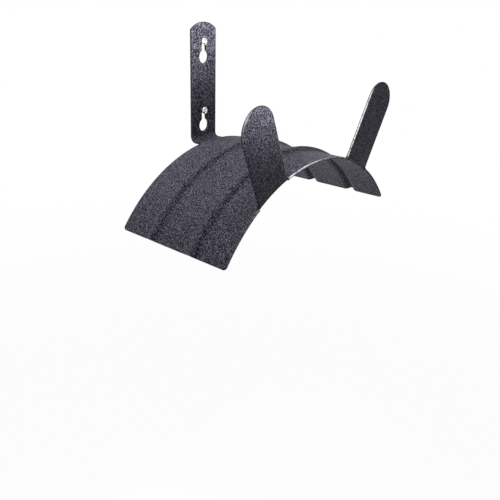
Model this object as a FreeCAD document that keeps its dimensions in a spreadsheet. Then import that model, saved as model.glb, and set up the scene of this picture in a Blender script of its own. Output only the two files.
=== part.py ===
import FreeCAD, Part
import math
import os
import Sketcher

# Wall hanger with a ribbed saddle. Millimetres. X runs along the wall, Z is up.
# The wall is the plane Y = 0 and the front of the hanger faces -Y.
# The origin lies on the wall, midway between the two screws.

doc = FreeCAD.newDocument("HoseHanger")
Vector = FreeCAD.Vector
Rotation = FreeCAD.Rotation

# Sizes
sizes = doc.addObject("Spreadsheet::Sheet", "Sizes")
size_rows = [
    ("strap_width", 31.75),
    ("strap_thick", 2.5),
    ("strap_top_rise", 6.1),
    ("strap_top_margin", 11.25),
    ("strap_bend", 4.0),
    ("leg_setback", 10.0),
    ("key_pitch", 63.5),
    ("key_neck_r", 2.9),
    ("key_head_r", 6.15),
    ("key_drop", 12.1),
    ("reach", 133.4),
    ("sheet_thick", 2.0),
    ("saddle_r", 139.7),
    ("saddle_depth", 114.3),
    ("saddle_half_angle", 54.75),
    ("saddle_below", 55.1),
    ("corner_r", 3.0),
    ("rib_first", 34.0),
    ("rib_spacing", 45.0),
    ("rib_height", 3.3),
    ("rib_lip_r", 4.5),
    ("rib_crest_r", 4.5),
    ("ear_width", 36.3),
    ("ear_length", 74.0),
    ("ear_angle", 25.5),
    ("ear_lean", 4.0),
    ("ear_bend", 0.5),
    ("ear_relief", 0.6),
    ("screw_head_r", 3.4),
    ("screw_head_height", 1.8),
    ("screw_head_bevel", 0.9),
    ("screw_neck_r", 1.45),
    ("screw_neck_end", 0.5),
    ("screw_thread_r", 1.75),
    ("screw_in_wall", 13.5),
    ("screw_point", 4.0),
]
size = {}
for row, (name, value) in enumerate(size_rows, start=1):
    sizes.set("A%d" % row, name)
    sizes.set("B%d" % row, str(value))
    sizes.setAlias("B%d" % row, name)
    size[name] = value
doc.recompute()

YZ_TURN = Rotation(Vector(1, 1, 1), 120)
XZ_TURN = Rotation(Vector(1, 0, 0), 90)


def bind(obj, prop, formula):
    """Ties a property to the sheet."""
    obj.setExpression(prop, formula)


def add(kind, name):
    """Makes one object with its own label."""
    obj = doc.addObject(kind, name)
    obj.Label = name
    return obj


class Outline:
    """A sketch that is drawn near its final form and then fixed by named sizes."""

    def __init__(self, name, turn):
        self.sketch = add("Sketcher::SketchObject", name)
        self.sketch.Placement = FreeCAD.Placement(Vector(0, 0, 0), turn)
        self.count = 0

    def line(self, a, b):
        return self.sketch.addGeometry(Part.LineSegment(Vector(*a, 0), Vector(*b, 0)))

    def arc(self, centre, radius, start, end):
        circle = Part.Circle(Vector(*centre, 0), Vector(0, 0, 1), radius)
        return self.sketch.addGeometry(Part.ArcOfCircle(circle, start, end))

    def fix(self, *words):
        return self.sketch.addConstraint(Sketcher.Constraint(*words))

    def fix_size(self, formula, *words):
        index = self.fix(*words)
        self.count += 1
        name = "size_%d" % self.count
        self.sketch.renameConstraint(index, name)
        bind(self.sketch, "Constraints." + name, formula)

    def join(self, a, a_end, b, b_end):
        self.fix("Coincident", a, a_end, b, b_end)

    def smooth(self, a, a_end, b, b_end):
        self.fix("Tangent", a, a_end, b, b_end)


POINTS = ("edge", "start", "end", "centre")
START = POINTS.index("start")
END = POINTS.index("end")
CENTRE = POINTS.index("centre")
AXES = ("horizontal", "vertical")
H_AXIS = ~AXES.index("horizontal")
V_AXIS = ~AXES.index("vertical")


def revolve(name, outline, degrees):
    """Turns an outline about the Y axis, half the angle to each side."""
    obj = add("Part::Revolution", name)
    obj.Source = outline.sketch
    obj.Axis = Vector(0, 1, 0)
    obj.Base = Vector(0, 0, 0)
    obj.Solid = True
    obj.Symmetric = True
    bind(obj, "Angle", degrees)
    return obj


def extrude(name, outline, direction, length):
    """Pushes an outline along one axis, half the length to each side."""
    obj = add("Part::Extrusion", name)
    obj.Base = outline.sketch
    obj.DirMode = "Custom"
    obj.Dir = direction
    obj.Solid = True
    obj.Symmetric = True
    bind(obj, "LengthFwd", length)
    return obj


def cut(name, base, tool):
    obj = add("Part::Cut", name)
    obj.Base = base
    obj.Tool = tool
    return obj


def group(kind, name, shapes):
    obj = add(kind, name)
    obj.Shapes = shapes
    return obj


def bundle(name, shapes):
    obj = add("Part::Compound", name)
    obj.Links = shapes
    return obj


def swing(obj, degrees):
    """Turns an object about the Y axis, to the right of the arch for a positive angle."""
    obj.Placement = FreeCAD.Placement(Vector(0, 0, 0), Rotation(Vector(0, 1, 0), 1))
    bind(obj, "Placement.Rotation.Angle", degrees)


def mirror(name, source, normal):
    obj = add("Part::Mirroring", name)
    obj.Source = source
    obj.Normal = normal
    obj.Base = Vector(0, 0, 0)
    return obj


def box(name, length, width, height):
    obj = add("Part::Box", name)
    bind(obj, "Length", length)
    bind(obj, "Width", width)
    bind(obj, "Height", height)
    return obj


# Saddle sheet, drawn as depth from the front edge against radius from the arch axis
def sheet_side(outline, level, lip_r, crest_r, level_text, lip_text, crest_text):
    """Draws one face of the ribbed sheet and returns its first and last lines."""
    centre_r = size["saddle_r"] + size["rib_height"] - size["rib_crest_r"]
    lip_centre = level + lip_r
    rise = lip_centre - centre_r
    half = math.sqrt((lip_r + crest_r) ** 2 - rise ** 2)
    slope = math.atan2(rise, half)
    places = [size["rib_first"], size["rib_first"] + size["rib_spacing"]]
    place_texts = ["Sizes.rib_first", "Sizes.rib_first + Sizes.rib_spacing"]
    lines = []
    begin = 0.0
    last_lip = None
    for place, place_text in zip(places, place_texts):
        line = outline.line((begin, level), (place - half, level))
        near = outline.arc((place - half, lip_centre), lip_r, -math.pi / 2, -slope)
        crest = outline.arc((place, centre_r), crest_r, slope, math.pi - slope)
        far = outline.arc((place + half, lip_centre), lip_r, math.pi + slope, 1.5 * math.pi)
        if last_lip is not None:
            outline.smooth(last_lip, END, line, START)
        outline.smooth(line, END, near, START)
        outline.smooth(near, END, crest, END)
        outline.smooth(crest, START, far, START)
        outline.fix_size(lip_text, "Radius", near, lip_r)
        outline.fix_size(lip_text, "Radius", far, lip_r)
        outline.fix_size(crest_text, "Radius", crest, crest_r)
        outline.fix_size(place_text, "DistanceX", H_AXIS, START, crest, CENTRE, place)
        outline.fix_size("Sizes.saddle_r + Sizes.rib_height - Sizes.rib_crest_r",
                         "DistanceY", H_AXIS, START, crest, CENTRE, centre_r)
        lines.append(line)
        last_lip = far
        begin = place + half
    line = outline.line((begin, level), (size["saddle_depth"], level))
    outline.smooth(last_lip, END, line, START)
    lines.append(line)
    for line in lines:
        outline.fix("Horizontal", line)
        outline.fix_size(level_text, "DistanceY", H_AXIS, START, line, END, level)
    outline.fix("PointOnObject", lines[0], START, V_AXIS)
    outline.fix_size("Sizes.saddle_depth", "DistanceX", H_AXIS, START, lines[-1], END,
                     size["saddle_depth"])
    return lines[0], lines[-1]


sheet = Outline("saddle_section", YZ_TURN)
inner_r = size["saddle_r"] - size["sheet_thick"]
top_first, top_last = sheet_side(
    sheet, size["saddle_r"], size["rib_lip_r"], size["rib_crest_r"],
    "Sizes.saddle_r", "Sizes.rib_lip_r", "Sizes.rib_crest_r")
low_first, low_last = sheet_side(
    sheet, inner_r, size["rib_lip_r"] + size["sheet_thick"],
    size["rib_crest_r"] - size["sheet_thick"],
    "Sizes.saddle_r - Sizes.sheet_thick", "Sizes.rib_lip_r + Sizes.sheet_thick",
    "Sizes.rib_crest_r - Sizes.sheet_thick")
front_edge = sheet.line((0, inner_r), (0, size["saddle_r"]))
back_edge = sheet.line((size["saddle_depth"], inner_r), (size["saddle_depth"], size["saddle_r"]))
sheet.join(front_edge, START, low_first, START)
sheet.join(front_edge, END, top_first, START)
sheet.join(back_edge, START, low_last, END)
sheet.join(back_edge, END, top_last, END)
arch = revolve("saddle_arch", sheet, "2 * Sizes.saddle_half_angle")


# Rounded corners of the saddle sheet
def corner_tool(name, block_y, round_y):
    """A square block less its round, set at the right end of the arch."""
    block = box(name + "_block", "Sizes.corner_r + 2", "Sizes.corner_r + 2", "Sizes.sheet_thick + 6")
    bind(block, "Placement.Base.x", "-Sizes.corner_r")
    bind(block, "Placement.Base.y", block_y)
    bind(block, "Placement.Base.z", "Sizes.saddle_r - Sizes.sheet_thick - 3")
    round_off = add("Part::Cylinder", name + "_round")
    bind(round_off, "Radius", "Sizes.corner_r")
    bind(round_off, "Height", "Sizes.sheet_thick + 10")
    bind(round_off, "Placement.Base.x", "-Sizes.corner_r")
    bind(round_off, "Placement.Base.y", round_y)
    bind(round_off, "Placement.Base.z", "Sizes.saddle_r - Sizes.sheet_thick - 5")
    tool = cut(name, block, round_off)
    swing(tool, "Sizes.saddle_half_angle")
    return tool


corner_front = corner_tool("corner_front", "-2", "Sizes.corner_r")
corner_back = corner_tool("corner_back", "Sizes.saddle_depth - Sizes.corner_r",
                          "Sizes.saddle_depth - Sizes.corner_r")

# Notch in the front edge that frees an ear for bending
notch_block = box("ear_notch_block", "Sizes.ear_width + 2 * Sizes.ear_relief",
                  "Sizes.ear_bend + Sizes.sheet_thick + 5", "Sizes.sheet_thick + 10")
bind(notch_block, "Placement.Base.x", "-Sizes.ear_width / 2 - Sizes.ear_relief")
bind(notch_block, "Placement.Base.y", "-5")
bind(notch_block, "Placement.Base.z", "Sizes.saddle_r - Sizes.sheet_thick - 5")
notch = bundle("ear_notch", [notch_block])
swing(notch, "Sizes.ear_angle")

tools_right = group("Part::MultiFuse", "edge_cuts_right", [corner_front, corner_back, notch])
tools_left = mirror("edge_cuts_left", tools_right, Vector(1, 0, 0))
arch_right_done = cut("saddle_arch_right_cut", arch, tools_right)
arch_done = cut("saddle_arch_cut", arch_right_done, tools_left)

# Ear, as a bent strip of sheet that is trimmed to a round-ended tongue
bend = size["ear_bend"]
thick = size["sheet_thick"]
lean = math.radians(size["ear_lean"])
bend_s = bend + thick
bend_r = size["saddle_r"] + bend
ear_top = size["saddle_r"] + size["ear_length"] + 4


def ear_point(radius, height):
    """A point on an ear face, up to a given distance from the arch axis."""
    foot_s = bend_s - radius * math.cos(lean)
    foot_r = bend_r - radius * math.sin(lean)
    return foot_s - (height - foot_r) * math.tan(lean), height


def bend_point(radius):
    return bend_s - radius * math.cos(lean), bend_r - radius * math.sin(lean)


strip = Outline("ear_section", YZ_TURN)
back_face = strip.line(bend_point(bend), ear_point(bend, ear_top))
top_edge = strip.line(ear_point(bend, ear_top), ear_point(bend + thick, ear_top))
front_face = strip.line(ear_point(bend + thick, ear_top), bend_point(bend + thick))
outer_bend = strip.arc((bend_s, bend_r), bend + thick, math.pi + lean, 1.5 * math.pi)
root_edge = strip.line((bend_s, size["saddle_r"] - thick), (bend_s, size["saddle_r"]))
inner_bend = strip.arc((bend_s, bend_r), bend, math.pi + lean, 1.5 * math.pi)
strip.smooth(inner_bend, START, back_face, START)
strip.join(back_face, END, top_edge, START)
strip.join(top_edge, END, front_face, START)
strip.smooth(front_face, END, outer_bend, START)
strip.join(outer_bend, END, root_edge, START)
strip.join(root_edge, END, inner_bend, END)
strip.join(inner_bend, CENTRE, outer_bend, CENTRE)
strip.fix("Vertical", root_edge)
strip.fix("Vertical", inner_bend, CENTRE, root_edge, END)
strip.fix("Horizontal", top_edge)
strip.fix_size("Sizes.ear_bend", "Radius", inner_bend, bend)
strip.fix_size("Sizes.ear_bend + Sizes.sheet_thick", "Radius", outer_bend, bend + thick)
strip.fix_size("Sizes.ear_bend + Sizes.sheet_thick", "DistanceX", H_AXIS, START, root_edge, END, bend_s)
strip.fix_size("Sizes.saddle_r", "DistanceY", H_AXIS, START, root_edge, END, size["saddle_r"])
strip.fix_size("Sizes.saddle_r + Sizes.ear_length + 4", "DistanceY", H_AXIS, START, top_edge, START, ear_top)
strip.fix_size("(90 + Sizes.ear_lean) * 1 deg", "Angle", back_face, math.pi / 2 + lean)
ear_strip = revolve("ear_strip", strip, "24")

half_ear = size["ear_width"] / 2
ear_foot = size["saddle_r"] - thick - 4
ear_round = size["saddle_r"] + size["ear_length"] - half_ear
tongue = Outline("ear_outline", XZ_TURN)
left_side = tongue.line((-half_ear, ear_round), (-half_ear, ear_foot))
foot_edge = tongue.line((-half_ear, ear_foot), (half_ear, ear_foot))
right_side = tongue.line((half_ear, ear_foot), (half_ear, ear_round))
round_end = tongue.arc((0, ear_round), half_ear, 0, math.pi)
tongue.smooth(round_end, END, left_side, START)
tongue.join(left_side, END, foot_edge, START)
tongue.join(foot_edge, END, right_side, START)
tongue.smooth(right_side, END, round_end, START)
tongue.fix("Vertical", left_side)
tongue.fix("Vertical", right_side)
tongue.fix("Horizontal", foot_edge)
tongue.fix("PointOnObject", round_end, CENTRE, V_AXIS)
tongue.fix_size("Sizes.ear_width / 2", "Radius", round_end, half_ear)
tongue.fix_size("Sizes.saddle_r + Sizes.ear_length - Sizes.ear_width / 2",
                "DistanceY", H_AXIS, START, round_end, CENTRE, ear_round)
tongue.fix_size("Sizes.saddle_r - Sizes.sheet_thick - 4",
                "DistanceY", H_AXIS, START, foot_edge, START, ear_foot)
ear_tongue = extrude("ear_tongue", tongue, Vector(0, 1, 0), "80")
ear_right = group("Part::MultiCommon", "ear_right", [ear_strip, ear_tongue])
swing(ear_right, "Sizes.ear_angle")
ear_left = mirror("ear_left", ear_right, Vector(1, 0, 0))

saddle = group("Part::MultiFuse", "saddle", [arch_done, ear_right, ear_left])
bind(saddle, "Placement.Base.y", "-Sizes.reach")
bind(saddle, "Placement.Base.z", "-Sizes.saddle_below - Sizes.saddle_r")

# Wall strap, bent forward into a leg whose long edges carry the saddle
strap_thick = size["strap_thick"]
strap_bend = size["strap_bend"]
half_strap = size["strap_width"] / 2
corner_z = size["key_pitch"] / 2 + size["strap_top_margin"]
strap_end_z = corner_z + size["strap_top_rise"] + 5
leg_z = math.sqrt(inner_r ** 2 - half_strap ** 2) - size["saddle_below"] - size["saddle_r"]
leg_end = -size["reach"] + size["leg_setback"]
turn_y = -strap_thick - strap_bend
turn_z = leg_z + strap_bend
LEG_Z = ("sqrt((Sizes.saddle_r - Sizes.sheet_thick) ^ 2 - (Sizes.strap_width / 2) ^ 2)"
         " - Sizes.saddle_below - Sizes.saddle_r")

bent = Outline("strap_section", YZ_TURN)
wall_face = bent.line((0, turn_z), (0, strap_end_z))
strap_end = bent.line((0, strap_end_z), (-strap_thick, strap_end_z))
room_face = bent.line((-strap_thick, strap_end_z), (-strap_thick, turn_z))
inside_turn = bent.arc((turn_y, turn_z), strap_bend, -math.pi / 2, 0)
leg_top = bent.line((turn_y, leg_z), (leg_end, leg_z))
leg_tip = bent.line((leg_end, leg_z), (leg_end, leg_z - strap_thick))
leg_under = bent.line((leg_end, leg_z - strap_thick), (turn_y, leg_z - strap_thick))
outside_turn = bent.arc((turn_y, turn_z), strap_bend + strap_thick, -math.pi / 2, 0)
bent.join(wall_face, END, strap_end, START)
bent.join(strap_end, END, room_face, START)
bent.smooth(room_face, END, inside_turn, END)
bent.smooth(inside_turn, START, leg_top, START)
bent.join(leg_top, END, leg_tip, START)
bent.join(leg_tip, END, leg_under, START)
bent.smooth(leg_under, END, outside_turn, START)
bent.smooth(outside_turn, END, wall_face, START)
for upright in (wall_face, room_face, leg_tip):
    bent.fix("Vertical", upright)
for level in (strap_end, leg_top, leg_under):
    bent.fix("Horizontal", level)
bent.fix("PointOnObject", wall_face, END, V_AXIS)
bent.fix_size("Sizes.strap_thick", "DistanceX", room_face, START, H_AXIS, START, strap_thick)
bent.fix_size("Sizes.key_pitch / 2 + Sizes.strap_top_margin + Sizes.strap_top_rise + 5",
              "DistanceY", H_AXIS, START, wall_face, END, strap_end_z)
bent.fix_size("Sizes.reach - Sizes.leg_setback", "DistanceX", leg_tip, START, H_AXIS, START, -leg_end)
bent.fix_size("-(" + LEG_Z + ")", "DistanceY", leg_tip, START, H_AXIS, START, -leg_z)
bent.fix_size("Sizes.strap_thick", "DistanceY", leg_tip, END, leg_tip, START, strap_thick)
bent.fix_size("Sizes.strap_bend", "Radius", inside_turn, strap_bend)
bent.fix_size("Sizes.strap_bend + Sizes.strap_thick", "Radius", outside_turn, strap_bend + strap_thick)
strap_bar = extrude("strap_bar", bent, Vector(1, 0, 0), "Sizes.strap_width + 10")

# Front outline of the strap, with its shallow arched top
rise = size["strap_top_rise"]
top_r = (half_strap ** 2 + rise ** 2) / (2 * rise)
top_centre = corner_z + rise - top_r
top_span = math.asin(half_strap / top_r)
face_foot = leg_z - strap_thick - 10
face = Outline("strap_outline", XZ_TURN)
face_left = face.line((-half_strap, corner_z), (-half_strap, face_foot))
face_low = face.line((-half_strap, face_foot), (half_strap, face_foot))
face_right = face.line((half_strap, face_foot), (half_strap, corner_z))
face_top = face.arc((0, top_centre), top_r, math.pi / 2 - top_span, math.pi / 2 + top_span)
face.join(face_top, END, face_left, START)
face.join(face_left, END, face_low, START)
face.join(face_low, END, face_right, START)
face.join(face_right, END, face_top, START)
face.fix("Vertical", face_left)
face.fix("Vertical", face_right)
face.fix("Horizontal", face_low)
face.fix("PointOnObject", face_top, CENTRE, V_AXIS)
face.fix_size("Sizes.strap_width / 2", "DistanceX", H_AXIS, START, face_right, END, half_strap)
face.fix_size("Sizes.strap_width / 2", "DistanceX", face_left, START, H_AXIS, START, half_strap)
face.fix_size("Sizes.key_pitch / 2 + Sizes.strap_top_margin",
              "DistanceY", H_AXIS, START, face_right, END, corner_z)
face.fix_size("-(" + LEG_Z + ") + Sizes.strap_thick + 10",
              "DistanceY", face_low, START, H_AXIS, START, -face_foot)
face.fix_size("((Sizes.strap_width / 2) ^ 2 + Sizes.strap_top_rise ^ 2) / (2 * Sizes.strap_top_rise)",
              "Radius", face_top, top_r)
strap_face = extrude("strap_face", face, Vector(0, 1, 0), "2 * Sizes.reach + 20")
strap_blank = group("Part::MultiCommon", "strap_blank", [strap_bar, strap_face])

# Keyholes: the neck rests on a screw and the round lets its head through
neck_r = size["key_neck_r"]
head_r = size["key_head_r"]
drop = size["key_drop"]
mouth = math.sqrt(head_r ** 2 - neck_r ** 2)
keyhole = Outline("keyhole_outline", XZ_TURN)
neck_top = keyhole.arc((0, 0), neck_r, 0, math.pi)
neck_left = keyhole.line((-neck_r, 0), (-neck_r, mouth - drop))
neck_right = keyhole.line((neck_r, mouth - drop), (neck_r, 0))
mouth_angle = math.atan2(mouth, neck_r)
head_hole = keyhole.arc((0, -drop), head_r, math.pi - mouth_angle, 2 * math.pi + mouth_angle)
keyhole.smooth(neck_top, END, neck_left, START)
keyhole.join(neck_left, END, head_hole, START)
keyhole.join(head_hole, END, neck_right, START)
keyhole.smooth(neck_right, END, neck_top, START)
keyhole.join(neck_top, CENTRE, H_AXIS, START)
keyhole.fix("Vertical", neck_left)
keyhole.fix("Vertical", neck_right)
keyhole.fix("PointOnObject", head_hole, CENTRE, V_AXIS)
keyhole.fix_size("Sizes.key_neck_r", "Radius", neck_top, neck_r)
keyhole.fix_size("Sizes.key_head_r", "Radius", head_hole, head_r)
keyhole.fix_size("Sizes.key_drop", "DistanceY", head_hole, CENTRE, H_AXIS, START, drop)
keyhole_tools = []
for place, sign in (("upper", ""), ("lower", "-")):
    tool = extrude("keyhole_" + place, keyhole, Vector(0, 1, 0), "4 * Sizes.strap_thick")
    bind(tool, "Placement.Base.z", sign + "Sizes.key_pitch / 2 + Sizes.screw_neck_r - Sizes.key_neck_r")
    keyhole_tools.append(tool)
keyholes = bundle("keyholes", keyhole_tools)
wall_strap = cut("wall_strap", strap_blank, keyholes)

# Pan head screws, drawn as distance from the wall against radius
under_r = size["screw_neck_r"]
under_end = size["screw_neck_end"]
thread_r = size["screw_thread_r"]
pan_r = size["screw_head_r"]
pan_top = -strap_thick - size["screw_head_height"]
bevel = size["screw_head_bevel"]
shank_end = size["screw_in_wall"] - size["screw_point"]
profile = Outline("screw_section", YZ_TURN)
axis_line = profile.line((size["screw_in_wall"], 0), (pan_top, 0))
pan_flat = profile.line((pan_top, 0), (pan_top, pan_r - bevel))
pan_slope = profile.line((pan_top, pan_r - bevel), (pan_top + bevel, pan_r))
pan_side = profile.line((pan_top + bevel, pan_r), (-strap_thick, pan_r))
pan_seat = profile.line((-strap_thick, pan_r), (-strap_thick, under_r))
plain_neck = profile.line((-strap_thick, under_r), (under_end, under_r))
thread_step = profile.line((under_end, under_r), (under_end, thread_r))
shank = profile.line((under_end, thread_r), (shank_end, thread_r))
point = profile.line((shank_end, thread_r), (size["screw_in_wall"], 0))
profile.join(axis_line, END, pan_flat, START)
profile.join(pan_flat, END, pan_slope, START)
profile.join(pan_slope, END, pan_side, START)
profile.join(pan_side, END, pan_seat, START)
profile.join(pan_seat, END, plain_neck, START)
profile.join(plain_neck, END, thread_step, START)
profile.join(thread_step, END, shank, START)
profile.join(shank, END, point, START)
profile.join(point, END, axis_line, START)
profile.fix("PointOnObject", axis_line, START, H_AXIS)
profile.fix("PointOnObject", axis_line, END, H_AXIS)
profile.fix("Vertical", pan_flat)
profile.fix("Vertical", pan_seat)
profile.fix("Horizontal", pan_side)
profile.fix("Vertical", thread_step)
profile.fix("Horizontal", plain_neck)
profile.fix("Horizontal", shank)
profile.fix_size("Sizes.screw_in_wall", "DistanceX", H_AXIS, START, axis_line, START, size["screw_in_wall"])
profile.fix_size("Sizes.strap_thick + Sizes.screw_head_height",
                 "DistanceX", axis_line, END, H_AXIS, START, -pan_top)
profile.fix_size("Sizes.strap_thick", "DistanceX", pan_seat, START, H_AXIS, START, strap_thick)
profile.fix_size("Sizes.screw_in_wall - Sizes.screw_point",
                 "DistanceX", H_AXIS, START, shank, END, shank_end)
profile.fix_size("Sizes.screw_head_r", "DistanceY", H_AXIS, START, pan_side, END, pan_r)
profile.fix_size("Sizes.screw_neck_end", "DistanceX", H_AXIS, START, thread_step, START, under_end)
profile.fix_size("Sizes.screw_neck_r", "DistanceY", H_AXIS, START, plain_neck, END, under_r)
profile.fix_size("Sizes.screw_thread_r", "DistanceY", H_AXIS, START, shank, END, thread_r)
profile.fix_size("Sizes.screw_head_bevel", "DistanceX", pan_slope, START, pan_slope, END, bevel)
profile.fix_size("Sizes.screw_head_bevel", "DistanceY", pan_slope, START, pan_slope, END, bevel)
screw_upper = revolve("screw_upper", profile, "360")
bind(screw_upper, "Placement.Base.z", "Sizes.key_pitch / 2")
screw_lower = mirror("screw_lower", screw_upper, Vector(0, 0, 1))
wall_screws = bundle("wall_screws", [screw_upper, screw_lower])

doc.recompute()

# Checks, then one file for each piece
for obj in doc.Objects:
    if "Invalid" in obj.State or "Error" in obj.State:
        raise RuntimeError("bad state: " + obj.Label)
    shape = getattr(obj, "Shape", None)
    if shape is not None and (shape.isNull() or not shape.isValid()):
        raise RuntimeError("bad shape: " + obj.Label)

os.makedirs("parts", exist_ok=True)
for piece in (wall_strap, saddle, wall_screws):
    piece.Shape.exportStep("parts/%s.step" % piece.Label)
    box_now = piece.Shape.BoundBox
    print(piece.Label, len(piece.Shape.Solids), round(piece.Shape.Volume, 1), box_now)
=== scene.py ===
import math

import bpy
import numpy as np
from mathutils import Matrix, Vector
from mathutils.geometry import delaunay_2d_cdt


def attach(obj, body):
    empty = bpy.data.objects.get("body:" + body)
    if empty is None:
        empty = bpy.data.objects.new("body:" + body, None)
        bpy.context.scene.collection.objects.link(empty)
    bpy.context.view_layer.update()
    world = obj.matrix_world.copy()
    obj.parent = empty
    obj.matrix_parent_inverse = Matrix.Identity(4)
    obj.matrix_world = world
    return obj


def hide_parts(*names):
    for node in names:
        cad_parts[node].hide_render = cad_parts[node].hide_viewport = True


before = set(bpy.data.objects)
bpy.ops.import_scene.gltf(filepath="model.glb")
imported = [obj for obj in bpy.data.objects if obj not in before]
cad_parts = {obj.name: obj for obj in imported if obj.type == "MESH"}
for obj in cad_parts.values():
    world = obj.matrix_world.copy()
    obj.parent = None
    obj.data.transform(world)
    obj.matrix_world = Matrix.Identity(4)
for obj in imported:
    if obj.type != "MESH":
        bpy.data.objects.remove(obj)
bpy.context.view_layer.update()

# Sizes in millimetres, as in the solids
MM = 0.001
STRAP_W = 31.75
STRAP_T = 2.5
STRAP_RISE = 6.1
STRAP_BEND = 4.0
STRAP_CORNER_Z = 43.0
KEY_PITCH = 63.5
KEY_NECK_R = 2.9
KEY_HEAD_R = 6.15
KEY_DROP = 12.1
LEG_SETBACK = 10.0
REACH = 133.4
SHEET_T = 2.0
SADDLE_R = 139.7
SADDLE_DEPTH = 114.3
SADDLE_HALF = math.radians(54.75)
SADDLE_BELOW = 55.1
CORNER_R = 3.0
RIBS = (34.0, 79.0)
RIB_HEIGHT = 3.3
RIB_LIP_R = 4.5
RIB_CREST_R = 4.5
EAR_W = 36.3
EAR_LENGTH = 74.0
EAR_ANGLE = math.radians(25.5)
EAR_LEAN = math.radians(4.0)
EAR_BEND = 0.5
EAR_RELIEF = 0.6
SCREW_HEAD_R = 3.4
SCREW_HEAD_H = 1.8
SCREW_NECK_R = 1.45
SCREW_NECK_END = 0.5
SCREW_THREAD_R = 1.75
SCREW_ROOT_R = 1.25
SCREW_PITCH = 1.3
SCREW_IN_WALL = 13.5
SCREW_POINT = 4.0

# Small forms that the solids leave out, in millimetres
SADDLE_EDGE = 0.75
SLIT_EDGE = 0.2
STRAP_EDGE = 0.6
HOLE_EDGE = 0.2
BEAD_R = 1.25
BEAD_RIPPLE = 0.12
BEAD_RIPPLE_RUN = 2.1
BEAD_OUT = 0.45
BEAD_DROP = 0.75
BEAD_HALF = 8
BEADS_AT = (-102.0, -56.5, -33.0)
HEAD_FLAT_R = 1.7
HEAD_CROWN = 0.1
HEAD_ROUND = 1.1
HEAD_LIP = 0.15
RECESS_DEPTH = 1.0
RECESS_ARM = (0.55, 0.3)
RECESS_REACH = (1.75, 0.9)

# Lengths along the rims over which the rubbed coat, partly wear and partly a painted highlight,
# fades, in millimetres
FRONT_FADE = 40
EAR_FADE = 8

# Rings of points over a quarter turn of a rounded edge
EDGE_STEPS = 5

# Distances between points of the meshes, in millimetres
RIM_STEP = 1.5
SLIT_STEP = 0.6
SLIT_END_STEP = 0.5
BEND_STEP = 0.4
BEND_ROW_STEP = 0.35
RIB_STEP = 0.4
PANEL_STEP = 2.4
STRAP_STEP = 2.0
LEG_STEP = 3.0
TURN_STEP = 0.6
TURN_ROW_STEP = 0.5
KEY_STEP = 0.8
THREAD_STEP = 0.2

AXIS_Z = -SADDLE_BELOW - SADDLE_R


# Sheet metal: an outline in the flat, bent into place, with rounded edges
def inside(points, loops):
    """True for each point that lies inside an odd number of loops."""
    odd = np.zeros(len(points), bool)
    x, y = points[:, 0], points[:, 1]
    for loop in loops:
        for (x0, y0), (x1, y1) in zip(loop, np.roll(loop, -1, axis=0)):
            if y0 == y1:
                continue
            crosses = (y0 > y) != (y1 > y)
            odd ^= crosses & (x < x0 + (y - y0) * (x1 - x0) / (y1 - y0))
    return odd


def clear_of(points, loops, gap):
    """True for each point that is at least a gap away from every loop's points."""
    clear = np.ones(len(points), bool)
    rim = np.concatenate(loops)
    for start in range(0, len(points), 1000):
        part = points[start:start + 1000]
        far = np.linalg.norm(part[:, None, :] - rim[None, :, :], axis=2).min(axis=1)
        clear[start:start + 1000] = far > gap
    return clear


def outward(loop):
    """The loop's normals, away from the metal, stretched where two edges meet at an angle."""
    before = loop - np.roll(loop, 1, axis=0)
    after = np.roll(before, -1, axis=0)
    before = before / np.linalg.norm(before, axis=1)[:, None]
    after = after / np.linalg.norm(after, axis=1)[:, None]
    normal_a = np.c_[before[:, 1], -before[:, 0]]
    normal_b = np.c_[after[:, 1], -after[:, 0]]
    mean = normal_a + normal_b
    mean = mean / np.linalg.norm(mean, axis=1)[:, None]
    return mean, 1 / np.clip((mean * normal_a).sum(axis=1), 0.65, 1)


def make_mesh(name, verts, faces, normals=None):
    """Makes an object from vertices in millimetres."""
    mesh = bpy.data.meshes.new(name)
    mesh.from_pydata((np.asarray(verts) * MM).tolist(), [], faces)
    mesh.polygons.foreach_set("use_smooth", np.ones(len(mesh.polygons), bool))
    if normals is not None:
        mesh.normals_split_custom_set_from_vertices(np.asarray(normals).tolist())
    mesh.update()
    obj = bpy.data.objects.new(name, mesh)
    bpy.context.scene.collection.objects.link(obj)
    return obj


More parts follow.
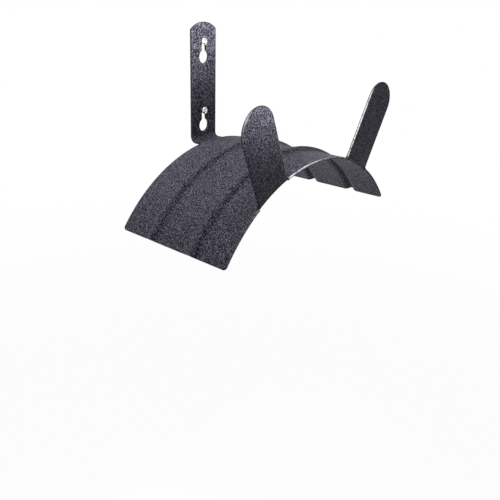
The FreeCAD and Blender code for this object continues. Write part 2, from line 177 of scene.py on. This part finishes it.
def sheet_metal(name, loops, fill, place, thick, edges, wear_and_sheen):
    """A bent sheet: loops bound the metal, fill lies between, edges are the loops' rounding radii.

    The last argument says how far each loop's rim is painted as rubbed bare steel, partly wear and
    partly a painted highlight, at its upper and at its lower corner.
    """
    turn = np.radians(np.linspace(90, 0, EDGE_STEPS))
    rings = [(1, angle) for angle in turn] + [(-1, angle) for angle in turn[::-1]]
    verts, normals, faces, rim = [], [], [], []
    first_rings = []
    ring_starts = []
    count = 0
    for loop, edge, (rub_and_sheen_over, rub_and_sheen_under) in zip(loops, edges, wear_and_sheen):
        away, stretch = outward(loop)
        starts = []
        for face, angle in rings:
            flat = loop - away * (stretch * edge * (1 - math.cos(angle)))[:, None]
            height = face * (thick / 2 - edge * (1 - math.sin(angle)))
            point, normal = place(flat)
            ahead, _ = place(flat + away * 0.001)
            side = ahead - point
            side = side / np.linalg.norm(side, axis=1)[:, None]
            verts.append(point + normal * np.reshape(height, (-1, 1)))
            # Bare steel on this ring of the rim: partly rubbed coat, partly a painted highlight
            rub_and_sheen = rub_and_sheen_over if face > 0 else rub_and_sheen_under
            rim.append(np.full(len(loop), min(1.5 * math.cos(angle), 1)) * rub_and_sheen)
            normals.append(side * math.cos(angle) + normal * face * math.sin(angle))
            starts.append(count)
            count += len(loop)
            if len(starts) == 1:
                first_rings.append(flat)
        size = len(loop)
        for low, high in zip(starts, starts[1:]):
            for i in range(size):
                j = (i + 1) % size
                faces.append((low + i, low + j, high + j, high + i))
        ring_starts.append((starts[0], starts[-1], size))
    fill = fill[inside(fill, first_rings)]
    fill = fill[clear_of(fill, first_rings, 0.7)]
    flat = np.concatenate(first_rings + [fill])
    rims = []
    base = 0
    for ring in first_rings:
        size = len(ring)
        rims += [(base + i, base + (i + 1) % size) for i in range(size)]
        base += size
    mesh = delaunay_2d_cdt([Vector(p) for p in flat], rims, [], 0, 1e-6)
    triangles, origin = mesh[2], mesh[3]
    corner = np.array([ids[0] for ids in origin])[np.array(triangles)]
    corner = corner[inside(flat[corner].mean(axis=1), first_rings)]
    top, bottom = [], []
    for start, end, size in ring_starts:
        top.append(np.arange(start, start + size))
        bottom.append(np.arange(end, end + size))
    point, normal = place(fill)
    for side, ids in ((1, top), (-1, bottom)):
        verts.append(point + normal * side * thick / 2)
        rim.append(np.zeros(len(fill)))
        normals.append(normal * side)
        ids.append(np.arange(count, count + len(fill)))
        count += len(fill)
    for ids in (top, bottom):
        faces += np.concatenate(ids)[corner].tolist()
    verts = np.concatenate(verts)
    normals = np.concatenate(normals)
    turned = []
    for face in faces:
        a, b, c = verts[face[0]], verts[face[1]], verts[face[2]]
        facing = np.cross(b - a, c - a) @ normals[list(face)].sum(axis=0)
        turned.append(tuple(face) if facing > 0 else tuple(reversed(face)))
    obj = make_mesh(name, verts, turned, normals)
    layer = obj.data.attributes.new("rim", "FLOAT", "POINT")
    layer.data.foreach_set("value", np.concatenate(rim))
    return obj


def run(start, end, step):
    """Points on a straight run from start up to, but not at, end."""
    start, end = np.array(start, float), np.array(end, float)
    count = max(1, int(round(np.linalg.norm(end - start) / step)))
    return start + (end - start) * (np.arange(count) / count)[:, None]


def sweep(centre, radius, start, end, count):
    """Points on an arc from a start angle up to, but not at, an end angle, in degrees."""
    angle = np.radians(start + (end - start) * np.arange(count) / count)
    return np.array(centre) + radius * np.c_[np.cos(angle), np.sin(angle)]


# Saddle
MID_R = SADDLE_R - SHEET_T / 2
EAR_AT = MID_R * EAR_ANGLE
ROOT = EAR_BEND + SHEET_T
BEND_MID = EAR_BEND + SHEET_T / 2
BEND_TURN = math.pi / 2 - EAR_LEAN
BEND_RUN = BEND_MID * BEND_TURN
BEND_R = SADDLE_R + EAR_BEND
EAR_FOOT_R = BEND_R - BEND_MID * math.cos(BEND_TURN)
CREST_AT = SADDLE_R + RIB_HEIGHT - RIB_CREST_R
CREST_MID = RIB_CREST_R - SHEET_T / 2
LIP_MID = RIB_LIP_R + SHEET_T / 2
LIP_AT = MID_R + LIP_MID
RIB_HALF = math.sqrt((LIP_MID + CREST_MID) ** 2 - (LIP_AT - CREST_AT) ** 2)
RIB_TURN = RIB_HALF * CREST_MID / (LIP_MID + CREST_MID)


def ribbed(depth):
    """Radius of the sheet's middle at a depth, and its slope."""
    radius = np.full(len(depth), MID_R)
    slope = np.zeros(len(depth))
    for rib in RIBS:
        off = np.abs(depth - rib)
        sign = np.sign(depth - rib)
        on_crest = off < RIB_TURN
        on_lip = (off >= RIB_TURN) & (off < RIB_HALF)
        rise = np.sqrt(np.maximum(CREST_MID ** 2 - off ** 2, 1e-9))
        radius = np.where(on_crest, CREST_AT + rise, radius)
        slope = np.where(on_crest, -sign * off / rise, slope)
        back = RIB_HALF - off
        fall = np.sqrt(np.maximum(LIP_MID ** 2 - back ** 2, 1e-9))
        radius = np.where(on_lip, LIP_AT - fall, radius)
        slope = np.where(on_lip, -sign * back / fall, slope)
    return radius, slope


def place_saddle(flat):
    """Bends the flat saddle: first along the arch, then across it from front to back."""
    along, across = flat[:, 0], flat[:, 1]
    hand = np.where(along < 0, -1.0, 1.0)
    ear_x = np.abs(along) - EAR_AT
    radius, slope = ribbed(across)
    length = np.sqrt(1 + slope ** 2)
    normal_s, normal_r = -slope / length, 1 / length
    theta = along / MID_R
    ear = (across < ROOT) & (np.abs(ear_x) < (EAR_W + EAR_RELIEF) / 2)
    beta = np.clip((ROOT - across) / BEND_MID, 0, BEND_TURN)
    beyond = np.maximum(ROOT - across - BEND_RUN, 0)
    ear_s = ROOT - BEND_MID * np.sin(beta) - beyond * math.cos(BEND_TURN)
    ear_r = BEND_R - BEND_MID * np.cos(beta) + beyond * math.sin(BEND_TURN)
    ear_theta = hand * (EAR_ANGLE + np.arcsin(np.clip(ear_x / ear_r, -1, 1)))
    depth = np.where(ear, ear_s, across)
    radius = np.where(ear, ear_r, radius)
    theta = np.where(ear, ear_theta, theta)
    normal_s = np.where(ear, np.sin(beta), normal_s)
    normal_r = np.where(ear, np.cos(beta), normal_r)
    point = np.c_[radius * np.sin(theta), depth - REACH, AXIS_Z + radius * np.cos(theta)]
    normal = np.c_[normal_r * np.sin(theta), normal_s, normal_r * np.cos(theta)]
    return point, normal


def ear_flat(x, z):
    """Where a point of the ear's outline lies in the flat."""
    beyond = (np.hypot(x, z) - EAR_FOOT_R) / math.sin(BEND_TURN)
    return np.c_[EAR_AT + x, ROOT - BEND_RUN - beyond]


def rib_steps(end):
    """Depths from 0 to an end, close together at the ribs."""
    marks = [0.0]
    while marks[-1] < end:
        near = min(abs(marks[-1] - rib) for rib in RIBS)
        marks.append(marks[-1] + (RIB_STEP if near < RIB_HALF + 1 else PANEL_STEP))
    return np.array(marks[:-1])


half_ear = EAR_W / 2
half_gap = half_ear + EAR_RELIEF
inner_gap, inner_side = EAR_AT - half_gap, EAR_AT - half_ear
outer_side, outer_gap = EAR_AT + half_ear, EAR_AT + half_gap
ear_foot = ROOT - BEND_RUN
arch_end = MID_R * SADDLE_HALF
front_end = arch_end - CORNER_R
back_end = SADDLE_DEPTH - CORNER_R
ear_round = SADDLE_R + EAR_LENGTH - half_ear
side_top = ear_flat(np.array([half_ear]), np.array([ear_round]))[0, 1]
cap_angle = np.radians(np.linspace(180, 0, 41))
cap = ear_flat(half_ear * np.cos(cap_angle), ear_round + half_ear * np.sin(cap_angle))
end_depths = rib_steps(back_end)
end_depths = end_depths[end_depths > CORNER_R + 0.5]
right_half = np.concatenate([
    run((0, 0), (inner_gap, 0), RIM_STEP),
    run((inner_gap, 0), (inner_gap, ROOT), SLIT_STEP),
    run((inner_gap, ROOT), (inner_side, ROOT), SLIT_END_STEP),
    run((inner_side, ROOT), (inner_side, ear_foot), BEND_STEP),
    run((inner_side, ear_foot), (inner_side, side_top), RIM_STEP),
    cap,
    run((outer_side, side_top), (outer_side, ear_foot), RIM_STEP)[1:],
    run((outer_side, ear_foot), (outer_side, ROOT), BEND_STEP),
    run((outer_side, ROOT), (outer_gap, ROOT), SLIT_END_STEP),
    run((outer_gap, ROOT), (outer_gap, 0), SLIT_STEP),
    run((outer_gap, 0), (front_end, 0), RIM_STEP),
    sweep((front_end, CORNER_R), CORNER_R, -90, 0, 10),
    [(arch_end, CORNER_R)],
    np.c_[np.full(len(end_depths), arch_end), end_depths],
    sweep((front_end, back_end), CORNER_R, 0, 90, 10),
    run((front_end, SADDLE_DEPTH), (0, SADDLE_DEPTH), RIM_STEP),
    [(0, SADDLE_DEPTH)],
])
left_half = right_half[1:-1][::-1] * (-1, 1)
saddle_loop = np.concatenate([right_half, left_half])

ear_rows = np.arange(cap[:, 1].min() + 1.5, ear_foot - 0.5, PANEL_STEP)
bend_rows = np.arange(ear_foot - 0.2, ROOT + 0.5, BEND_ROW_STEP)
sheet_rows = rib_steps(SADDLE_DEPTH)
sheet_rows = sheet_rows[sheet_rows > ROOT + 0.6]
rows = np.concatenate([ear_rows, bend_rows, sheet_rows])
columns = np.linspace(-arch_end, arch_end, 111)
saddle_fill = np.stack(np.meshgrid(columns, rows), axis=-1).reshape(-1, 2)

# The edges are rounded less at the slits beside the ears
along, across = saddle_loop.T
from_ear = np.abs(along) - EAR_AT
slit_x = np.abs(np.abs(from_ear) - half_ear - EAR_RELIEF / 2)
slit_y = np.maximum(ear_foot - across, across - ROOT)
from_slit = np.hypot(slit_x, np.maximum(slit_y, 0))
saddle_edge = SLIT_EDGE + (SADDLE_EDGE - SLIT_EDGE) * np.clip((from_slit - 0.5) / 3, 0, 1)

# The coat is painted as rubbed through on the front rim, most on its left between the ears,
# and on the ears' front corners: along the inner sides and over the outer tops.
# This bare steel is partly wear and partly a painted highlight where the light catches the rims.
on_front = (np.abs(across) < 0.01) & (from_slit > 0.4)
on_inner_side = (from_ear < 0) & (across < -1)
on_outer_top = (from_ear >= 0) & (across < side_top)
# The painted highlight is strongest left of the crown, where the light from the upper left falls on
# the rim
between_ears = np.clip(0.75 - along / FRONT_FADE, 0.35, 1)
beside_ears = np.clip(0.5 - (from_ear - half_ear) / FRONT_FADE, 0.08, 0.5)
front_rub_and_sheen = np.where(from_ear < half_ear, between_ears, beside_ears)
inner_rub_and_sheen = np.clip((across - side_top) / EAR_FADE + 1, 0, 1)
outer_rub_and_sheen = 0.4 * np.clip(from_ear / EAR_FADE, 0, 1)
rub_and_sheen_over = np.where(on_front, front_rub_and_sheen, 0.0)
rub_and_sheen_under = np.select([on_front, on_inner_side, on_outer_top],
                      [front_rub_and_sheen, inner_rub_and_sheen, outer_rub_and_sheen], 0.0)
saddle = sheet_metal("saddle_coated", [saddle_loop], saddle_fill, place_saddle, SHEET_T,
                     [saddle_edge], [(rub_and_sheen_over, rub_and_sheen_under)])
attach(saddle, "root")
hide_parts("saddle")

# Wall strap
HALF_STRAP = STRAP_W / 2
LEG_Z = math.sqrt((SADDLE_R - SHEET_T) ** 2 - HALF_STRAP ** 2) + AXIS_Z
TURN_Y = -STRAP_T - STRAP_BEND
TURN_Z = LEG_Z + STRAP_BEND
TURN_MID = STRAP_BEND + STRAP_T / 2
TURN_RUN = TURN_MID * math.pi / 2
LEG_END = -REACH + LEG_SETBACK
leg_top = TURN_Z - TURN_RUN
strap_foot = leg_top - (TURN_Y - LEG_END)


def place_strap(flat):
    """Bends the flat strap: first across it, then along it from the leg up to the top."""
    x, along = flat[:, 0], flat[:, 1]
    beta = np.clip((TURN_Z - along) / TURN_MID, 0, math.pi / 2)
    above = np.maximum(along - TURN_Z, 0)
    beyond = np.maximum(leg_top - along, 0)
    y = TURN_Y + TURN_MID * np.cos(beta) - beyond
    z = TURN_Z - TURN_MID * np.sin(beta) + above
    point = np.c_[x, y, z]
    normal = np.c_[np.zeros(len(x)), -np.cos(beta), np.sin(beta)]
    return point, normal


top_r = (HALF_STRAP ** 2 + STRAP_RISE ** 2) / (2 * STRAP_RISE)
top_span = math.degrees(math.asin(HALF_STRAP / top_r))
strap_loop = np.concatenate([
    run((-HALF_STRAP, strap_foot), (HALF_STRAP, strap_foot), STRAP_STEP),
    run((HALF_STRAP, strap_foot), (HALF_STRAP, leg_top), LEG_STEP),
    run((HALF_STRAP, leg_top), (HALF_STRAP, TURN_Z), TURN_STEP),
    run((HALF_STRAP, TURN_Z), (HALF_STRAP, STRAP_CORNER_Z), STRAP_STEP),
    sweep((0, STRAP_CORNER_Z + STRAP_RISE - top_r), top_r, 90 - top_span, 90 + top_span, 36),
    run((-HALF_STRAP, STRAP_CORNER_Z), (-HALF_STRAP, TURN_Z), STRAP_STEP),
    run((-HALF_STRAP, TURN_Z), (-HALF_STRAP, leg_top), TURN_STEP),
    run((-HALF_STRAP, leg_top), (-HALF_STRAP, strap_foot), LEG_STEP),
])


def keyhole(neck_z):
    """The outline of one keyhole, clockwise."""
    mouth = math.sqrt(KEY_HEAD_R ** 2 - KEY_NECK_R ** 2)
    meet = math.degrees(math.atan2(mouth, KEY_NECK_R))
    head_z = neck_z - KEY_DROP
    return np.concatenate([
        sweep((0, neck_z), KEY_NECK_R, 180, 0, 24),
        run((KEY_NECK_R, neck_z), (KEY_NECK_R, head_z + mouth), KEY_STEP),
        sweep((0, head_z), KEY_HEAD_R, meet, -180 - meet, 60),
        run((-KEY_NECK_R, head_z + mouth), (-KEY_NECK_R, neck_z), KEY_STEP),
    ])


holes = [keyhole(z + SCREW_NECK_R - KEY_NECK_R) for z in (KEY_PITCH / 2, -KEY_PITCH / 2)]
strap_rows = np.concatenate([
    np.arange(strap_foot + 2, leg_top - 0.5, LEG_STEP),
    np.arange(leg_top, TURN_Z + 0.3, TURN_ROW_STEP),
    np.arange(TURN_Z + 2, STRAP_CORNER_Z + STRAP_RISE, STRAP_STEP),
])
strap_columns = np.linspace(-HALF_STRAP, HALF_STRAP, 17)
strap_fill = np.stack(np.meshgrid(strap_columns, strap_rows), axis=-1).reshape(-1, 2)
strap = sheet_metal("wall_strap_coated", [strap_loop] + holes, strap_fill, place_strap, STRAP_T,
                    [STRAP_EDGE, HOLE_EDGE, HOLE_EDGE], [(0, 0)] * 3)
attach(strap, "root")
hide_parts("wall_strap")


# Weld beads between the strap's leg and the saddle
def weld_bead(name, side, middle):
    """A short rippled bead in the corner beside the leg."""
    around, along = 14, 90
    start = middle - BEAD_HALF
    verts, faces = [], []
    for i in range(along + 1):
        share = i / along
        y = start + 2 * BEAD_HALF * share
        taper = math.sqrt(max(0.0, 1 - abs(2 * share - 1) ** 8))
        ripple = BEAD_RIPPLE * abs(math.sin(math.pi * (y - start) / BEAD_RIPPLE_RUN))
        radius = (BEAD_R + ripple) * max(taper, 0.05)
        for j in range(around):
            angle = 2 * math.pi * j / around
            x = side * (HALF_STRAP + BEAD_OUT + radius * math.cos(angle))
            verts.append((x, y, LEG_Z - BEAD_DROP + radius * math.sin(angle)))
    for i in range(along):
        for j in range(around):
            k = (j + 1) % around
            low, high = i * around, (i + 1) * around
            faces.append((low + j, low + k, high + k, high + j))
    last = along * around
    faces.append(tuple(reversed(range(around))))
    faces.append(tuple(range(last, last + around)))
    if side > 0:
        faces = [face[::-1] for face in faces]
    return make_mesh(name, verts, faces)


welds = []
for side, word in ((-1, "left"), (1, "right")):
    for number, middle in enumerate(BEADS_AT, start=1):
        bead = weld_bead("weld_%s_%d" % (word, number), side, middle)
        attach(bead, "root")
        welds.append(bead)


# Screws, with a cross recess and a thread
def smooth(low, high, value):
    """An even step from 0 at low to 1 at high."""
    share = min(max((value - low) / (high - low), 0.0), 1.0)
    return share * share * (3 - 2 * share)


def recess_depth(x, z):
    """How deep the cross recess is at a point of the head."""
    arm = max(smooth(*RECESS_ARM, abs(x)), smooth(*RECESS_ARM, abs(z)))
    return RECESS_DEPTH * arm * smooth(*RECESS_REACH, max(abs(x), abs(z)))


def thread_radius(y, angle):
    """Radius of the threaded shank at a distance into the wall and an angle round it."""
    turns = (y - SCREW_NECK_END) / SCREW_PITCH - angle / (2 * math.pi)
    ridge = max(0.0, 1 - abs(turns % 1 - 0.5) / 0.3)
    begin = smooth(SCREW_NECK_END, SCREW_NECK_END + 1.5, y)
    radius = SCREW_ROOT_R + (SCREW_THREAD_R - SCREW_ROOT_R) * ridge * begin
    left = SCREW_IN_WALL - y
    return radius * min(1.0, left / SCREW_POINT)


def screw_mesh(name, centre_z):
    """A turned screw: rings round its axis, from the head's middle to the point."""
    around = 96
    top = -STRAP_T - SCREW_HEAD_H
    outline = []
    for r in np.linspace(0.08, HEAD_FLAT_R, 24):
        outline.append((top + HEAD_CROWN * (r / HEAD_FLAT_R) ** 2, r, "head"))
    for angle in np.radians(np.linspace(8, 90, 11)):
        y = top + HEAD_CROWN + HEAD_ROUND * (1 - math.cos(angle))
        r = HEAD_FLAT_R + (SCREW_HEAD_R - HEAD_FLAT_R) * math.sin(angle)
        outline.append((y, r, "head"))
    outline.append((-STRAP_T - HEAD_LIP, SCREW_HEAD_R, "head"))
    outline.append((-STRAP_T, SCREW_HEAD_R - HEAD_LIP, "head"))
    outline.append((-STRAP_T, SCREW_NECK_R, "neck"))
    outline.append((SCREW_NECK_END, SCREW_NECK_R, "neck"))
    for y in np.arange(SCREW_NECK_END + 0.15, SCREW_IN_WALL, THREAD_STEP):
        outline.append((y, 0.0, "thread"))
    verts, faces = [], []
    for y, r, zone in outline:
        for j in range(around):
            angle = 2 * math.pi * j / around
            radius = thread_radius(y, angle) if zone == "thread" else r
            x, z = radius * math.cos(angle), radius * math.sin(angle)
            dip = recess_depth(x, z) if zone == "head" else 0.0
            verts.append((x, y + dip, centre_z + z))
    for i in range(len(outline) - 1):
        for j in range(around):
            k = (j + 1) % around
            low, high = i * around, (i + 1) * around
            faces.append((low + j, high + j, high + k, low + k))
    last = (len(outline) - 1) * around
    verts.append((0.0, top + recess_depth(0, 0), centre_z))
    verts.append((0.0, SCREW_IN_WALL, centre_z))
    for j in range(around):
        k = (j + 1) % around
        faces.append((len(verts) - 2, j, k))
        faces.append((len(verts) - 1, last + k, last + j))
    obj = make_mesh(name, verts, faces)
    obj.data.set_sharp_from_angle(angle=math.radians(45))
    return obj


screws = []
for word, sign in (("upper", 1), ("lower", -1)):
    screw = screw_mesh("wall_screw_" + word, sign * KEY_PITCH / 2)
    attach(screw, "root")
    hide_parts("wall_screws")
    screws.append(screw)


# Materials
def new_material(name):
    """A material with its nodes, its shader and a node for places on the piece."""
    material = bpy.data.materials.new(name)
    material.use_nodes = True
    nodes = material.node_tree.nodes
    links = material.node_tree.links
    shader = nodes["Principled BSDF"]
    place = nodes.new("ShaderNodeTexCoord")
    return material, nodes, links, shader, place


def noise(nodes, links, place, scale, detail, rough):
    """Noise in space, with a scale in cells to the metre."""
    node = nodes.new("ShaderNodeTexNoise")
    node.inputs["Scale"].default_value = scale
    node.inputs["Detail"].default_value = detail
    node.inputs["Roughness"].default_value = rough
    links.new(place.outputs["Object"], node.inputs["Vector"])
    return node


def ramp(nodes, links, source, stops):
    """Colours for a value, from stops of (value, colour)."""
    node = nodes.new("ShaderNodeValToRGB")
    ends = node.color_ramp.elements
    ends[0].position, ends[0].color = stops[0][0], (*stops[0][1], 1)
    ends[1].position, ends[1].color = stops[-1][0], (*stops[-1][1], 1)
    for position, colour in stops[1:-1]:
        extra = ends.new(position)
        extra.color = (*colour, 1)
    links.new(source, node.inputs["Fac"])
    return node


def spread(nodes, links, source, low, high):
    """Spreads the usual range of a noise from low to high."""
    node = nodes.new("ShaderNodeMapRange")
    node.inputs["From Min"].default_value = 0.3
    node.inputs["From Max"].default_value = 0.7
    node.inputs["To Min"].default_value = low
    node.inputs["To Max"].default_value = high
    links.new(source, node.inputs["Value"])
    return node


def rubbed_and_highlit(nodes, links, place):
    """How far the coat is painted as rubbed through to bare steel, partly wear and partly a painted
    highlight: in patches, on rims that face upward, where the light catches them.
    """
    rim = nodes.new("ShaderNodeAttribute")
    rim.attribute_name = "rim"
    side = nodes.new("ShaderNodeNewGeometry")
    parts = nodes.new("ShaderNodeSeparateXYZ")
    links.new(side.outputs["Normal"], parts.inputs[0])
    # Rims facing upward, toward the overhead lamps, get the most painted highlight
    upward = nodes.new("ShaderNodeMapRange")
    upward.inputs["From Min"].default_value = -0.25
    upward.inputs["From Max"].default_value = 0.2
    links.new(parts.outputs["Z"], upward.inputs["Value"])
    patches = noise(nodes, links, place, 260, 3.0, 0.6)
    bare_and_highlit = nodes.new("ShaderNodeMapRange")
    bare_and_highlit.inputs["From Min"].default_value = 0.3
    bare_and_highlit.inputs["From Max"].default_value = 0.5
    links.new(patches.outputs["Fac"], bare_and_highlit.inputs["Value"])
    product = rim.outputs["Fac"]
    for factor in (upward, bare_and_highlit):
        node = nodes.new("ShaderNodeMath")
        node.operation = "MULTIPLY"
        links.new(product, node.inputs[0])
        links.new(factor.outputs["Result"], node.inputs[1])
        product = node.outputs[0]
    return product


def powder_coat(name, worn_and_highlit):
    """Charcoal powder coat with a fine hammered grain and a speckle in the colour, the speckle
    partly the coat's own grain and partly painted glints; when asked for, bare steel on the rims,
    partly wear and partly a painted highlight.
    """
    material, nodes, links, shader, place = new_material(name)
    grain = noise(nodes, links, place, 1000, 2.0, 0.6)
    cloud = noise(nodes, links, place, 35, 2.0, 0.5)
    # The light flecks are partly the coat's own grain and partly painted glints of the hammered
    # finish
    colour = ramp(nodes, links, grain.outputs["Fac"], [
        (0.385, (0.009, 0.0086, 0.0115)),
        (0.500, (0.048, 0.0460, 0.0595)),
        (0.615, (0.190, 0.1830, 0.2370)),
    ])
    if worn_and_highlit:
        # Light steel on the rims: partly rubbed-through coat, partly a painted highlight
        steel_and_highlight = ramp(nodes, links, grain.outputs["Fac"], [
            (0.35, (0.70, 0.70, 0.71)),
            (0.65, (0.92, 0.92, 0.93)),
        ])
        paint = nodes.new("ShaderNodeMix")
        paint.data_type = "RGBA"
        bare_and_highlit = rubbed_and_highlit(nodes, links, place)
        links.new(bare_and_highlit, paint.inputs["Factor"])
        links.new(bare_and_highlit, shader.inputs["Metallic"])
        links.new(colour.outputs["Color"], paint.inputs[6])
        links.new(steel_and_highlight.outputs["Color"], paint.inputs[7])
        links.new(paint.outputs[2], shader.inputs["Base Color"])
    else:
        links.new(colour.outputs["Color"], shader.inputs["Base Color"])
    rough = spread(nodes, links, cloud.outputs["Fac"], 0.40, 0.52)
    links.new(rough.outputs["Result"], shader.inputs["Roughness"])
    dimples = nodes.new("ShaderNodeTexVoronoi")
    dimples.feature = "SMOOTH_F1"
    dimples.inputs["Scale"].default_value = 480
    dimples.inputs["Smoothness"].default_value = 0.6
    links.new(place.outputs["Object"], dimples.inputs["Vector"])
    coarse = nodes.new("ShaderNodeBump")
    coarse.inputs["Strength"].default_value = 0.6
    coarse.inputs["Distance"].default_value = 0.0006
    links.new(dimples.outputs["Distance"], coarse.inputs["Height"])
    fine = nodes.new("ShaderNodeBump")
    fine.inputs["Strength"].default_value = 0.8
    fine.inputs["Distance"].default_value = 0.0006
    links.new(grain.outputs["Fac"], fine.inputs["Height"])
    links.new(coarse.outputs["Normal"], fine.inputs["Normal"])
    links.new(fine.outputs["Normal"], shader.inputs["Normal"])
    shader.inputs["Specular IOR Level"].default_value = 0.03
    shader.inputs["Specular Tint"].default_value = (0.8, 0.8, 1.0, 1)
    return material


def zinc_plate(name):
    """Bright zinc with faint clouding."""
    material, nodes, links, shader, place = new_material(name)
    cloud = noise(nodes, links, place, 420, 3.0, 0.6)
    colour = ramp(nodes, links, cloud.outputs["Fac"], [
        (0.35, (0.62, 0.62, 0.60)),
        (0.65, (0.84, 0.84, 0.82)),
    ])
    links.new(colour.outputs["Color"], shader.inputs["Base Color"])
    rough = spread(nodes, links, cloud.outputs["Fac"], 0.22, 0.36)
    links.new(rough.outputs["Result"], shader.inputs["Roughness"])
    shader.inputs["Metallic"].default_value = 1.0
    return material


coats = {}
# The saddle's coat gets the bare-steel rims, partly wear and partly a painted highlight
for name, worn_and_highlit in (("saddle_coat", True), ("strap_coat", False)):
    coats[name] = powder_coat(name, worn_and_highlit)
for piece in [saddle] + welds:
    piece.data.materials.append(coats["saddle_coat"])
strap.data.materials.append(coats["strap_coat"])
zinc = zinc_plate("screw_zinc")
for screw in screws:
    screw.data.materials.append(zinc)


# Floor, light and camera
def background_rays(nodes, links):
    """1 for the rays that show the background: from the camera, off a gloss and through a glass."""
    path = nodes.new("ShaderNodeLightPath")
    seen = path.outputs["Is Camera Ray"]
    for kind in ("Is Glossy Ray", "Is Transmission Ray"):
        node = nodes.new("ShaderNodeMath")
        node.operation = "MAXIMUM"
        links.new(seen, node.inputs[0])
        links.new(path.outputs[kind], node.inputs[1])
        seen = node.outputs[0]
    return seen


FLOOR_Z = -0.7
bpy.ops.mesh.primitive_plane_add(size=30, location=(0, 0, FLOOR_Z))
floor = bpy.context.object
floor.name = "floor"
floor_paint = bpy.data.materials.new("floor_paint")
floor_paint.use_nodes = True
floor_shader = floor_paint.node_tree.nodes["Principled BSDF"]
floor_shader.inputs["Base Color"].default_value = (0.9, 0.9, 0.9, 1)
floor_shader.inputs["Roughness"].default_value = 0.9
nodes, links = floor_paint.node_tree.nodes, floor_paint.node_tree.links
glow = nodes.new("ShaderNodeEmission")
glow.inputs["Color"].default_value = (1, 1, 1, 1)
glow.inputs["Strength"].default_value = 1.0
spot = nodes.new("ShaderNodeTexCoord")
away = nodes.new("ShaderNodeVectorMath")
away.operation = "LENGTH"
links.new(spot.outputs["Object"], away.inputs[0])
fade = nodes.new("ShaderNodeMapRange")
fade.interpolation_type = "SMOOTHERSTEP"
fade.inputs["From Min"].default_value = 0.3
fade.inputs["From Max"].default_value = 2.0
fade.inputs["To Min"].default_value = 0.95
fade.inputs["To Max"].default_value = 1.0
links.new(away.outputs["Value"], fade.inputs["Value"])
share = nodes.new("ShaderNodeMath")
share.operation = "MULTIPLY"
links.new(fade.outputs["Result"], share.inputs[1])
links.new(background_rays(nodes, links), share.inputs[0])
mix = nodes.new("ShaderNodeMixShader")
links.new(share.outputs[0], mix.inputs[0])
links.new(floor_shader.outputs[0], mix.inputs[1])
links.new(glow.outputs[0], mix.inputs[2])
links.new(mix.outputs[0], nodes["Material Output"].inputs["Surface"])
floor.data.materials.append(floor_paint)

scene = bpy.context.scene
scene.view_settings.view_transform = "Standard"
world = bpy.data.worlds.new("studio")
world.use_nodes = True
scene.world = world
nodes, links = world.node_tree.nodes, world.node_tree.links
plain = nodes["Background"]
plain.inputs["Color"].default_value = (1, 1, 1, 1)
plain.inputs["Strength"].default_value = 0.17
white = nodes.new("ShaderNodeBackground")
white.inputs["Color"].default_value = (1, 1, 1, 1)
white.inputs["Strength"].default_value = 1.0
mix = nodes.new("ShaderNodeMixShader")
links.new(background_rays(nodes, links), mix.inputs[0])
links.new(plain.outputs[0], mix.inputs[1])
links.new(white.outputs[0], mix.inputs[2])
links.new(mix.outputs[0], nodes["World Output"].inputs["Surface"])


def hang_lamp(lamp, place, aim):
    """Puts a lamp at a place, turned to a point."""
    obj = bpy.data.objects.new(lamp.name, lamp)
    scene.collection.objects.link(obj)
    obj.location = place
    obj.rotation_euler = (Vector(aim) - Vector(place)).to_track_quat("-Z", "Y").to_euler()


def soft_lamp(name, place, aim, size, power):
    """A round area lamp."""
    lamp = bpy.data.lights.new(name, "AREA")
    lamp.shape = "DISK"
    lamp.size = size
    lamp.energy = power
    hang_lamp(lamp, place, aim)


MIDDLE = (0, -0.06, -0.04)
UNDERSIDE = (0.05, -0.07, -0.09)
soft_lamp("key", (-0.13, -0.25, 0.75), MIDDLE, 0.45, 4)
soft_lamp("back", (-0.12, 0.5, 0.5), MIDDLE, 0.3, 3.5)
soft_lamp("low", (0.02, 0.4, -0.55), UNDERSIDE, 0.2, 2.4)
beam = bpy.data.lights.new("beam", "SPOT")
beam.energy = 125
beam.spot_size = math.radians(15.6)
beam.spot_blend = 1.0
beam.shadow_soft_size = 0.025
hang_lamp(beam, (-0.23, -1.0, -0.18), (-0.026, -0.05, 0.106))

# The camera stands at the front left, a little above the hanger
YAW, PITCH, ROLL = (math.radians(d) for d in (46.690, 17.554, 0.195))
FOCAL_PX, IMAGE_PX = 586.43, 500
CENTRE_PX = (213.21, 184.44)
SENSOR_MM = 36
CAMERA_MM = (-393.252, -385.250, 68.688)
ahead = Vector((math.sin(YAW) * math.cos(PITCH), math.cos(YAW) * math.cos(PITCH), -math.sin(PITCH)))
level = Vector((math.cos(YAW), -math.sin(YAW), 0))
upright = level.cross(ahead)
right = level * math.cos(ROLL) + upright * math.sin(ROLL)
up = upright * math.cos(ROLL) - level * math.sin(ROLL)
camera_data = bpy.data.cameras.new("camera")
camera_data.sensor_width = SENSOR_MM
camera_data.lens = FOCAL_PX / IMAGE_PX * SENSOR_MM
camera_data.shift_x = (IMAGE_PX / 2 - CENTRE_PX[0]) / IMAGE_PX
camera_data.shift_y = (CENTRE_PX[1] - IMAGE_PX / 2) / IMAGE_PX
camera_data.clip_start = 0.01
camera = bpy.data.objects.new("camera", camera_data)
scene.collection.objects.link(camera)
turn = Matrix((right, up, -ahead)).transposed()
camera.matrix_world = Matrix.Translation(Vector(CAMERA_MM) * MM) @ turn.to_4x4()
scene.camera = camera
